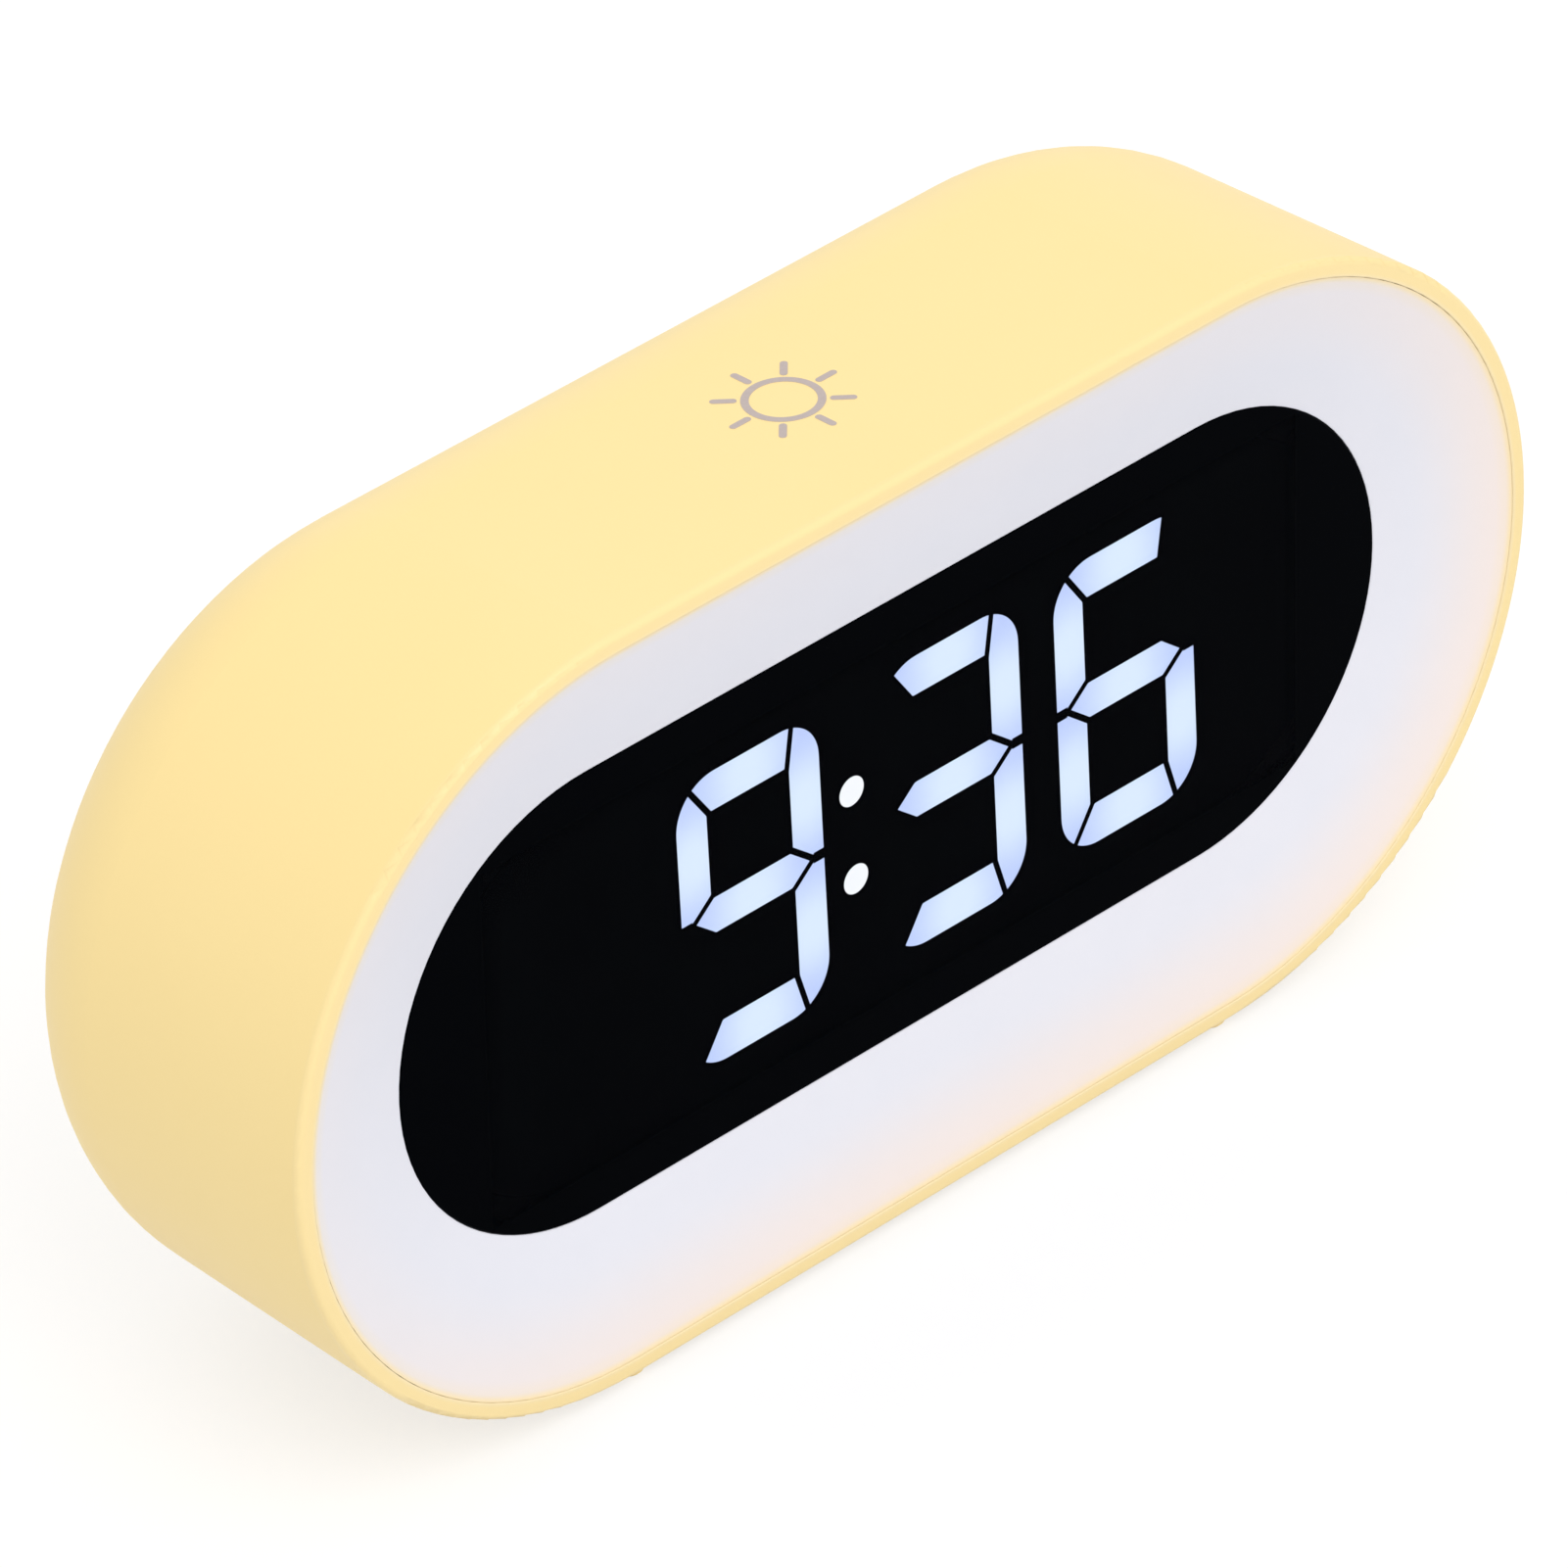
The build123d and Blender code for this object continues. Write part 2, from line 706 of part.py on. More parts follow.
# Case screws: driven from the rear through the posts and the board into the frame
with BuildPart() as case_screws:
    with BuildSketch(front_view(screw_seat + screw_head_height)):
        with Locations((-post_x, 0), (post_x, 0)):
            Circle(screw_head_diameter / 2)
    extrude(amount=screw_head_height)
    with BuildSketch(front_view(screw_seat)):
        with Locations((-post_x, 0), (post_x, 0)):
            Circle(screw_diameter / 2)
    extrude(amount=screw_seat - screw_tip)
    with BuildSketch(front_view(screw_seat + screw_head_height)):
        with Locations((-post_x, 0), (post_x, 0)):
            Rectangle(cross_length, cross_width)
            Rectangle(cross_width, cross_length)
    extrude(amount=cross_depth, mode=Mode.SUBTRACT)
case_screws.part.label = "case_screws"
export_step(case_screws.part, "parts/case_screws.step")

# Key board and its screws
with BuildPart() as key_board:
    with BuildSketch(front_view(key_board_back)):
        with Locations((key_board_x, 0)):
            Rectangle(key_board_width, key_board_height)
        with Locations(*standoff_places):
            Circle(key_screw_diameter / 2 + screw_gap, mode=Mode.SUBTRACT)
        with Locations((link_x, link_z)):
            with GridLocations(link_pin_pitch, 0, link_pin_count, 1):
                Rectangle(link_pin + 2 * link_pin_gap, link_pin + 2 * link_pin_gap, mode=Mode.SUBTRACT)
    extrude(amount=board_thick)
key_board.part.label = "key_board"
export_step(key_board.part, "parts/key_board.step")

with BuildPart() as key_board_screws:
    with BuildSketch(front_view(key_board_front)):
        with Locations(*standoff_places):
            Circle(key_screw_head / 2)
    extrude(amount=key_screw_head_height)
    with BuildSketch(front_view(key_board_front + key_screw_length)):
        with Locations(*standoff_places):
            Circle(key_screw_diameter / 2)
    extrude(amount=key_screw_length)
key_board_screws.part.label = "key_board_screws"
export_step(key_board_screws.part, "parts/key_board_screws.step")

# Stacking header: socket on the main board, pin strip on the key board
link_length = link_pin_pitch * link_pin_count + 2 * link_end
header_front = key_board_front - link_header_height
socket_back = header_front - link_gap
with BuildPart() as link_socket:
    with BuildSketch(front_view(socket_back)):
        with Locations((link_x, link_z)):
            Rectangle(link_length, link_width)
            with GridLocations(link_pin_pitch, 0, link_pin_count, 1):
                Rectangle(link_pin + 2 * link_pin_gap, link_pin + 2 * link_pin_gap, mode=Mode.SUBTRACT)
    extrude(amount=socket_back - board_back)
link_socket.part.label = "link_socket"
export_step(link_socket.part, "parts/link_socket.step")

with BuildPart() as link_header:
    with BuildSketch(front_view(key_board_front)):
        with Locations((link_x, link_z)):
            Rectangle(link_length, link_width)
            with GridLocations(link_pin_pitch, 0, link_pin_count, 1):
                Rectangle(link_pin, link_pin, mode=Mode.SUBTRACT)
    extrude(amount=link_header_height)
link_header.part.label = "link_header"
export_step(link_header.part, "parts/link_header.step")

with BuildPart() as link_pins:
    with BuildSketch(front_view(key_board_back)):
        with Locations((link_x, link_z)):
            with GridLocations(link_pin_pitch, 0, link_pin_count, 1):
                Rectangle(link_pin, link_pin)
    extrude(amount=key_board_back - board_back)
link_pins.part.label = "link_pins"
export_step(link_pins.part, "parts/link_pins.step")

# Switch bodies: low boxes with a well for the plunger
with BuildPart() as switch_bodies:
    with BuildSketch(front_view(switch_top)):
        with Locations(*[(button_x, rise) for rise in button_rises]):
            Rectangle(switch_size, switch_size)
    extrude(amount=switch_height)
    with BuildSketch(front_view(switch_top)):
        with Locations(*[(button_x, rise) for rise in button_rises]):
            Circle(plunger_diameter / 2 + plunger_gap)
    extrude(amount=plunger_length - plunger_proud + plunger_room, mode=Mode.SUBTRACT)
switch_bodies.part.label = "switch_bodies"
export_step(switch_bodies.part, "parts/switch_bodies.step")

# Each button has a pill-shaped head, a flange that keeps it in, and a stem on its plunger
for name, rise in zip(button_names, button_rises):
    with BuildPart() as button:
        with BuildSketch(front_view(button_top)):
            with Locations((button_x, rise)):
                SlotOverall(button_length, button_height)
        extrude(amount=button_top - button_flange_back)
        fillet(button.faces().sort_by(Axis.Y)[-1].edges(), button_round)
        with BuildSketch(front_view(button_flange_back)):
            with Locations((button_x, rise)):
                SlotOverall(button_length + 2 * button_flange_lap, button_height + 2 * button_flange_lap)
        extrude(amount=button_flange_thick)
        with BuildSketch(front_view(button_flange_front)):
            with Locations((button_x, rise)):
                Circle(button_stem_radius)
        extrude(amount=button_flange_front - plunger_tip)
    button.part.label = f"{name}_button"
    export_step(button.part, f"parts/{name}_button.step")

    with BuildPart() as plunger:
        with BuildSketch(front_view(plunger_tip)):
            with Locations((button_x, rise)):
                Circle(plunger_diameter / 2)
        extrude(amount=plunger_length)
    plunger.part.label = f"{name}_plunger"
    export_step(plunger.part, f"parts/{name}_plunger.step")

# Buzzer can with its port towards the sound holes
with BuildPart() as buzzer:
    with BuildSketch(front_view(key_board_back + buzzer_height)):
        with Locations((buzzer_x, buzzer_z)):
            Circle(buzzer_diameter / 2)
    extrude(amount=buzzer_height)
    with BuildSketch(front_view(key_board_back + buzzer_height)):
        with Locations((buzzer_x, buzzer_z)):
            Circle(buzzer_port / 2)
    extrude(amount=buzzer_port, mode=Mode.SUBTRACT)
buzzer.part.label = "buzzer"
export_step(buzzer.part, "parts/buzzer.step")

# Upright power inlet: a steel sleeve with a contact tongue in it
with BuildPart() as usb_socket:
    with BuildSketch(front_view(usb_mouth)):
        with Locations((usb_x, usb_z)):
            SlotOverall(usb_length, usb_height)
    extrude(amount=usb_mouth - key_board_back)
    with BuildSketch(front_view(usb_mouth)):
        with Locations((usb_x, usb_z)):
            SlotOverall(usb_length - 2 * usb_shell, usb_height - 2 * usb_shell)
    extrude(amount=usb_depth, mode=Mode.SUBTRACT)
usb_socket.part.label = "usb_socket"
export_step(usb_socket.part, "parts/usb_socket.step")

with BuildPart() as usb_tongue:
    with BuildSketch(front_view(usb_mouth - tongue_sink)):
        with Locations((usb_x, usb_z)):
            Rectangle(tongue_length, tongue_thick)
    extrude(amount=usb_depth - tongue_sink)
usb_tongue.part.label = "usb_tongue"
export_step(usb_tongue.part, "parts/usb_tongue.step")

# Battery door with grip grooves near its top and two hooked tabs on its lower edge
with BuildPart() as battery_door:
    with BuildSketch(front_view(case_depth)):
        with Locations((bay_x, 0)):
            RectangleRounded(door_width, door_height, door_corner)
    extrude(amount=door_thick)
    fillet(battery_door.faces().sort_by(Axis.Y)[-1].edges(), door_edge_round)
    with BuildSketch(front_view(case_depth)):
        with Locations((bay_x, door_height / 2 - groove_drop)):
            with GridLocations(0, groove_pitch, 1, groove_count):
                SlotOverall(groove_length, groove_width)
    extrude(amount=groove_depth, mode=Mode.SUBTRACT)
    with BuildSketch(front_view(door_inner)):
        with Locations(*tab_places):
            Rectangle(tab_width, tab_thick, align=(Align.CENTER, Align.MIN))
    extrude(amount=door_inner - tab_front)
    with BuildSketch(front_view(tab_back)):
        with Locations(*tab_places):
            Rectangle(tab_width, tab_reach, align=(Align.CENTER, Align.MAX))
    extrude(amount=tab_thick)
battery_door.part.label = "battery_door"
export_step(battery_door.part, "parts/battery_door.step")

# Cells lie head to tail, so the upper and lower ones point left and the middle one right
for index, rise in enumerate(cell_rises):
    points = -1 if index % 2 == 0 else 1
    tip = place(bay_x + points * (bay_length / 2 - plate_thick), cell_depth, rise)
    tip_plane = Plane(origin=tip, x_dir=(0, 1, 0), z_dir=(-points, 0, 0))
    with BuildPart() as cell:
        with BuildSketch(tip_plane):
            Circle(nub_diameter / 2)
        extrude(amount=nub_length)
        with BuildSketch(tip_plane.offset(nub_length)):
            Circle(cell_diameter / 2)
        extrude(amount=cell_length - nub_length)
        fillet(cell.edges().filter_by(GeomType.CIRCLE).sort_by(SortBy.RADIUS)[-2:], cell_round)
    cell.part.label = f"battery_{index + 1}"
    export_step(cell.part, f"parts/battery_{index + 1}.step")

# Contact plates on the end walls of the bay: a single one and a double one at each end
with BuildPart() as contact_plates:
    for side, single, pair in ((-1, cell_rises[-1], cell_rises[:-1]), (1, cell_rises[0], cell_rises[1:])):
        wall = place(bay_x + side * bay_length / 2, cell_depth, 0)
        with BuildSketch(Plane(origin=wall, x_dir=(0, 1, 0), z_dir=(-side, 0, 0))) as plates:
            facing = plates.workplanes[0].y_dir.Z
            with Locations((0, facing * single)):
                Rectangle(plate_height, plate_height)
            with Locations((0, facing * sum(pair) / len(pair))):
                Rectangle(plate_height, plate_height + cell_pitch)
            tail_length = cell_depth - bay_front + tail_reach
            with Locations((-tail_length / 2, facing * single)):
                Rectangle(tail_length, tail_width)
        extrude(amount=plate_thick)
contact_plates.part.label = "contact_plates"
export_step(contact_plates.part, "parts/contact_plates.step")

# Contact springs: a bent strip at the flat end of each cell
with BuildPart() as contact_springs:
    for index, rise in enumerate(cell_rises):
        side = 1 if index % 2 == 0 else -1
        plate_face = side * (bay_length / 2 - plate_thick)
        strip_rest = plate_face - side * spring_strip / 2
        cell_face = plate_face - side * (spring_gap - spring_strip)
        with BuildSketch(Plane(origin=place(bay_x, cell_depth, rise), x_dir=(1, 0, 0), z_dir=(0, 0, 1))):
            with BuildLine():
                Polyline(
                    (strip_rest, -plate_height / 2),
                    (strip_rest, -plate_height / 4),
                    (cell_face, 0),
                    (strip_rest - side * spring_strip, plate_height / 2),
                )
            trace(line_width=spring_strip)
        extrude(amount=spring_width / 2, both=True)
contact_springs.part.label = "contact_springs"
export_step(contact_springs.part, "parts/contact_springs.step")

# Battery leads: from the tails of the end contacts to the main board
tail_end = bay_front - tail_reach
lead_run = tail_end - board_back
lead_straight = lead_straight_share * lead_run
for name, side, rise in (("positive", -1, cell_rises[-1]), ("negative", 1, cell_rises[0])):
    lead_x = bay_x + side * (bay_length - plate_thick) / 2
    with BuildPart() as lead:
        with BuildLine() as route:
            FilletPolyline(
                place(lead_x, tail_end, rise),
                place(lead_x, tail_end - lead_straight, rise),
                place(lead_x - side * lead_shift, board_back + lead_straight, rise),
                place(lead_x - side * lead_shift, board_back, rise),
                radius=lead_bend_share * lead_run,
            )
        with BuildSketch(Plane(origin=route.line @ 0, z_dir=route.line % 0)):
            Circle(lead_diameter / 2)
        sweep(path=route.wires()[0])
    lead.part.label = f"{name}_lead"
    export_step(lead.part, f"parts/{name}_lead.step")

# Touch pad: copper foil on the inside of the drafted top wall, with its lead
pad_face = cavity_half - draft_inset(pad_depth)
with BuildPart() as touch_pad:
    wall_plane = Plane(origin=place(pad_x, pad_depth, pad_face), x_dir=(1, 0, 0), z_dir=(0, 0, -1))
    with BuildSketch(wall_plane.rotated((-case_draft, 0, 0))):
        Circle(pad_diameter / 2)
    extrude(amount=pad_thick)
touch_pad.part.label = "touch_pad"
export_step(touch_pad.part, "parts/touch_pad.step")

touch_lead_depth = pad_depth + touch_lead_offset
touch_lead_top = cavity_half - draft_inset(touch_lead_depth) - pad_thick - touch_lead_gap
with BuildPart() as touch_lead:
    with BuildLine() as route:
        FilletPolyline(
            place(pad_x, touch_lead_depth, touch_lead_top),
            place(pad_x, touch_lead_depth, touch_lead_top - touch_lead_drop),
            place(pad_x, board_back, touch_lead_top - touch_lead_drop),
            radius=touch_lead_bend,
        )
    with BuildSketch(Plane(origin=route.line @ 0, z_dir=route.line % 0)):
        Circle(lead_diameter / 2)
    sweep(path=route.wires()[0])
touch_lead.part.label = "touch_lead"
export_step(touch_lead.part, "parts/touch_lead.step")
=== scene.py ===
import math

import bmesh
import bpy
from mathutils import Matrix, Vector


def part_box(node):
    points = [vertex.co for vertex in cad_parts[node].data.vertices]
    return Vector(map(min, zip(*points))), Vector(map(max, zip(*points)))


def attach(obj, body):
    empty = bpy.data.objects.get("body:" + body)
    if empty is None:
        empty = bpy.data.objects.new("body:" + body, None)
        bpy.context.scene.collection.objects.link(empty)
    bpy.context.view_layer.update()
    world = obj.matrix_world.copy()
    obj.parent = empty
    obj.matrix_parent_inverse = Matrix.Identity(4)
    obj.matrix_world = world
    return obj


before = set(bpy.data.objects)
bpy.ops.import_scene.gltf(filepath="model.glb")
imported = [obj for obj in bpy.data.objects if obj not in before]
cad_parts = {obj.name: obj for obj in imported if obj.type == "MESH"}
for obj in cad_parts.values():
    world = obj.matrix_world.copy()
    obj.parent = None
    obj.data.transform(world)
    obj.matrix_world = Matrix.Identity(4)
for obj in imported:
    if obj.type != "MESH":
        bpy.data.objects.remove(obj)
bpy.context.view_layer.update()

# Case shell: a one-piece cup of yellow plastic, moulded with a drafted wall and a large round at the rear.
# A finely blasted mould gives it a satin skin, which hands have polished a little along the front edge.
# Its rim stays open for the diffuser. Its face carries painted light, a pale tint strongest at its inner
# edge, standing in for light from the milky ring.
MM = 0.001
CASE_LOW, CASE_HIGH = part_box("case_shell")
RING_LOW, RING_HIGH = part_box("diffuser")
FRONT_Y = CASE_LOW[1]
CENTRE_Z = (CASE_LOW[2] + CASE_HIGH[2]) / 2
STRAIGHT_HALF = CASE_HIGH[0] - (CASE_HIGH[2] - CENTRE_Z)
RING_HALF = (RING_HIGH[2] - RING_LOW[2]) / 2
CASE_DEEP = (246, 220, 153)
CASE_LIGHT = (249, 224, 158)
# Pale tint of the painted light on the rim's face.
PAINTED_RIM_LIGHT = (238, 233, 228)
FLOW_SIZE = 30 * MM
SCUFF_SIZE = 2.5 * MM
SKIN_SIZE = 0.22 * MM
SKIN_DEPTH = 0.012 * MM
EDGE_START = 0.3 * MM
EDGE_END = 1.0 * MM
GLOW_START = -0.01 * MM
GLOW_END = 0.54 * MM


class Shade:
    """One socket among the nodes. Arithmetic on it adds Math nodes."""

    def __init__(self, nodes, socket):
        self.nodes = nodes
        self.socket = socket

    def __add__(self, other):
        return self.nodes.math("ADD", self, other)

    def __sub__(self, other):
        return self.nodes.math("SUBTRACT", self, other)

    def __rsub__(self, other):
        return self.nodes.math("SUBTRACT", other, self)

    def __mul__(self, other):
        return self.nodes.math("MULTIPLY", self, other)

    def __truediv__(self, other):
        return self.nodes.math("DIVIDE", self, other)

    def __abs__(self):
        return self.nodes.math("ABSOLUTE", self)

    __radd__ = __add__
    __rmul__ = __mul__


class Nodes:
    """The nodes of one material, or of the surround."""

    def __init__(self, tree):
        self.tree = tree

    def node(self, kind, settings=None, sockets=None, output=0):
        """Any node: its settings first, then the values or links of its sockets."""
        made = self.tree.nodes.new(kind)
        for name, value in (settings or {}).items():
            setattr(made, name, value)
        for key, value in (sockets or {}).items():
            self.feed(made.inputs[key], value)
        return Shade(self, made.outputs[output])

    def feed(self, socket, value):
        """Links a socket to a shade, or gives it a value."""
        if isinstance(value, Shade):
            self.tree.links.new(value.socket, socket)
        else:
            socket.default_value = value

    def math(self, operation, *values):
        """One Math node."""
        return self.node("ShaderNodeMath", {"operation": operation}, dict(enumerate(values)))

    def least(self, values):
        """The smallest of several values."""
        found = values[0]
        for value in values[1:]:
            found = self.math("MINIMUM", found, value)
        return found

    def ramp(self, value, start, end):
        """0 up to start, 1 from end, and a smooth rise between them."""
        sockets = {"Value": value, "From Min": start, "From Max": end}
        return self.node("ShaderNodeMapRange", {"interpolation_type": "SMOOTHSTEP"}, sockets)

    def mix(self, share, first, second):
        """The first colour turning into the second."""
        return self.node("ShaderNodeMix", {"data_type": "RGBA"}, {0: share, 6: first, 7: second}, 2)


class Finish(Nodes):
    """A material: one Principled surface and the nodes that feed it."""

    def __init__(self, name, **constants):
        self.material = bpy.data.materials.new(name)
        self.material.use_nodes = True
        super().__init__(self.material.node_tree)
        self.surface = self.tree.nodes["Principled BSDF"]
        for socket, value in constants.items():
            self.surface.inputs[socket.replace("_", " ")].default_value = value
        self.position = self.node("ShaderNodeTexCoord", output="Object")

    def along(self, axis):
        """One coordinate, in metres, in the frame of the clock."""
        return self.node("ShaderNodeSeparateXYZ", {}, {0: self.position}, axis)

    def from_point(self, point):
        """Distance from a point."""
        sockets = {0: self.position, 1: point}
        return self.node("ShaderNodeVectorMath", {"operation": "DISTANCE"}, sockets, "Value")

    def noise(self, size, detail=2.0):
        """Soft mottle with blotches of about a given size."""
        sockets = {"Vector": self.position, "Scale": 1 / size, "Detail": detail}
        return self.node("ShaderNodeTexNoise", {}, sockets)

    def grain(self, height, depth):
        """Bump of a given depth from a height that runs from 0 to 1."""
        sockets = {"Height": height, "Distance": depth, "Strength": 1.0}
        return self.node("ShaderNodeBump", {}, sockets)

    def show(self, **inputs):
        """Feeds the surface, and gives back the finished material."""
        for socket, value in inputs.items():
            self.feed(self.surface.inputs[socket.replace("_", " ")], value)
        return self.material


def tint(red, green, blue):
    """Colour written as 8-bit screen values."""
    linear = []
    for channel in (red / 255, green / 255, blue / 255):
        linear.append(channel / 12.92 if channel <= 0.04045 else ((channel + 0.055) / 1.055) ** 2.4)
    return (*linear, 1.0)


def dress(material, *nodes):
    """Gives a finish to CAD nodes."""
    for name in nodes:
        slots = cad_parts[name].data.materials
        slots.clear()
        slots.append(material)


def satin_plastic(name, deep, light, roughness, rub=None, lit=None):
    """Moulded plastic with a blasted skin and a faint flow mottle.

    It is smoother where rub says that hands polish it.
    It is painted paler where lit says: a pale tint of painted light, standing in for light that falls on it.
    """
    finish = Finish(name, IOR=1.5, Specular_IOR_Level=0.35)
    flow = finish.noise(FLOW_SIZE, 3.0)
    skin = finish.noise(SKIN_SIZE, 3.0)
    scuff = finish.noise(SCUFF_SIZE, 4.0)
    rough = roughness + 0.08 * (scuff - 0.5) + 0.06 * (skin - 0.5)
    if rub is not None:
        rough = rough - 0.14 * rub(finish)
    colour = finish.mix(0.7 * flow + 0.3 * skin, tint(*deep), tint(*light))
    if lit is not None:
        # Painted light: a pale tint mixed into the colour.
        colour = finish.mix(lit(finish), colour, tint(*PAINTED_RIM_LIGHT))
    return finish.show(
        Base_Color=colour,
        Roughness=rough,
        Normal=finish.grain(skin, SKIN_DEPTH),
    )


def front_edge(finish):
    """1 on the face of the rim, fading out where the wall turns back."""
    return 1 - finish.ramp(finish.along("Y"), FRONT_Y + EDGE_START, FRONT_Y + EDGE_END)


def stadium_reach(finish):
    """Distance from the straight line between the middles of the clock's two round ends."""
    past_line = finish.math("MAXIMUM", abs(finish.along("X")) - STRAIGHT_HALF, 0.0)
    rise = finish.along("Z") - CENTRE_Z
    return finish.math("SQRT", past_line * past_line + rise * rise)


def painted_ring_light(finish):
    """How much painted light, in a pale tint, goes on the rim's face: a little all over, most next to the
    milky ring.
    """
    near_ring = 1 - finish.ramp(stadium_reach(finish), RING_HALF + GLOW_START, RING_HALF + GLOW_END)
    return (0.06 + 0.2 * near_ring) * front_edge(finish)


# The rim's face is painted paler here, standing in for light from the milky ring.
dress(satin_plastic("case_yellow", CASE_DEEP, CASE_LIGHT, 0.46, front_edge, painted_ring_light), "case_shell")

# Sun sign: a ring and eight rays that mark the touch control, with the touch pad right under them.
# It is screen-printed in grey ink on the drafted top of the case.
# Its film stands a hair above the plastic.
PRINT_THICK = 0.03 * MM
PRINT_SINK = 0.01 * MM
SUN_X = -0.9 * MM
SUN_DEPTH = 16.65 * MM
SUN_OUTER = 3.7 * MM
SUN_LINE = 0.73 * MM
RAY_COUNT = 8
RAY_START = 4.0 * MM
RAY_END = 6.35 * MM
RAY_WIDTH = 0.7 * MM
CASE_TOP = 77.34 * MM
CASE_DRAFT = math.radians(1.9)

ink = Finish("grey_print", Specular_IOR_Level=0.4)
ink_spread = ink.noise(0.4 * MM, 3.0)
ink.show(
    Base_Color=ink.mix(ink_spread, tint(176, 162, 158), tint(190, 177, 172)),
    Roughness=0.5 + 0.15 * (ink_spread - 0.5),
)


def round_outline(middle, radius, start=0.0, sweep=360.0, steps=72):
    """Points on a circle, or on an arc of one."""
    closed = sweep == 360.0
    count = steps if closed else steps + 1
    angles = [math.radians(start + sweep * step / steps) for step in range(count)]
    x, y = middle
    return [(x + radius * math.cos(angle), y + radius * math.sin(angle)) for angle in angles]


def lay_print(shape, lay, outer, inner=None):
    """Adds one closed film of ink: an outline, or the band between two outlines with as many points."""
    def loop(outline, level):
        return [shape.verts.new(lay @ Vector((x, y, level))) for x, y in outline]

    outer_low, outer_high = loop(outer, -PRINT_SINK), loop(outer, PRINT_THICK)
    bands = [(outer_low, outer_high)]
    if inner is None:
        shape.faces.new(outer_high)
        shape.faces.new(outer_low)
    else:
        inner_low, inner_high = loop(inner, -PRINT_SINK), loop(inner, PRINT_THICK)
        bands += [(outer_high, inner_high), (inner_high, inner_low), (inner_low, outer_low)]
    for first, second in bands:
        for index in range(len(first)):
            shape.faces.new((first[index - 1], first[index], second[index], second[index - 1]))


def printed(name, shape, body):
    """Turns the films of ink into a piece that rides on a body."""
    bmesh.ops.recalc_face_normals(shape, faces=shape.faces)
    mesh = bpy.data.meshes.new(name)
    shape.to_mesh(mesh)
    shape.free()
    mesh.materials.append(ink.material)
    piece = bpy.data.objects.new(name, mesh)
    bpy.context.scene.collection.objects.link(piece)
    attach(piece, body)


sun_height = CASE_TOP - SUN_DEPTH * math.tan(CASE_DRAFT)
sun_place = (SUN_X, FRONT_Y + SUN_DEPTH, sun_height)
top_face = Matrix.Translation(sun_place) @ Matrix.Rotation(-CASE_DRAFT, 4, "X")
sun = bmesh.new()
ring_outer = round_outline((0.0, 0.0), SUN_OUTER)
ring_inner = round_outline((0.0, 0.0), SUN_OUTER - SUN_LINE)
lay_print(sun, top_face, ring_outer, ring_inner)
ray = round_outline((RAY_START + RAY_WIDTH / 2, 0.0), RAY_WIDTH / 2, 90.0, 180.0, 16)
ray += round_outline((RAY_END - RAY_WIDTH / 2, 0.0), RAY_WIDTH / 2, -90.0, 180.0, 16)
for index in range(RAY_COUNT):
    turn = Matrix.Rotation(2 * math.pi * index / RAY_COUNT, 4, "Z")
    lay_print(sun, top_face @ turn, ray)
printed("sun_sign", sun, "clock")

# Feet: four small plugs of soft rubber in the case's colour, pressed into blind holes in the underside.
# Rubber takes no polish, so they are duller than the case.
dress(satin_plastic("foot_rubber", (245, 220, 154), (251, 227, 163), 0.72), "rubber_feet")

# Buttons: four pill-shaped keys of the case's plastic in a sunken field on the rear, kept in by flanges.
# Each carries a printed sign: a ring for setting, an arrow up, an arrow down, and a bell for the alarm.
# Fingers have polished the middle of each.
KEYS = ("set", "up", "down", "alarm")
KEY_POLISH_START = 0.8 * MM
KEY_POLISH_END = 3.5 * MM
SET_RING_OUTER = 1.15 * MM
SET_RING_INNER = 0.8 * MM
SET_DOT = 0.35 * MM
ARROW_HALF_WIDTH = 1.25 * MM
ARROW_FOOT = -0.75 * MM
ARROW_TIP = 1.0 * MM
ARROW_CORNER = 0.2 * MM
CORNER_STEPS = 6
BELL_RISE = 0.3 * MM
BELL_RADIUS = 0.8 * MM
BELL_WAIST = Vector((0.85 * MM, -0.45 * MM))
BELL_LIP = Vector((1.15 * MM, -0.8 * MM))
CLAPPER_RISE = -0.95 * MM
CLAPPER_RADIUS = 0.35 * MM


def key_top(key):
    """Middle of a button's outer face."""
    low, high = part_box(f"{key}_button")
    return (low[0] + high[0]) / 2, high[1], (low[2] + high[2]) / 2


def key_middles(finish):
    """1 in the middle of each button, fading out towards its edge."""
    nearest = finish.least([finish.from_point(key_top(key)) for key in KEYS])
    return 1 - finish.ramp(nearest, KEY_POLISH_START, KEY_POLISH_END)


key_yellow = satin_plastic("button_yellow", CASE_DEEP, CASE_LIGHT, 0.44, key_middles)
dress(key_yellow, *[f"{key}_button" for key in KEYS])


def soft_corners(corners, radius):
    """A polygon with rounded corners."""
    outline = []
    for index, corner in enumerate(corners):
        here = Vector(corner)
        before = (Vector(corners[index - 1]) - here).normalized()
        after = (Vector(corners[(index + 1) % len(corners)]) - here).normalized()
        half = before.angle(after) / 2
        middle = here + (before + after).normalized() * radius / math.sin(half)
        first = here + before * radius / math.tan(half) - middle
        sweep = math.copysign(math.pi - 2 * half, before.cross(after))
        for step in range(CORNER_STEPS + 1):
            outline.append(tuple(middle + Matrix.Rotation(-sweep * step / CORNER_STEPS, 2) @ first))
    return outline


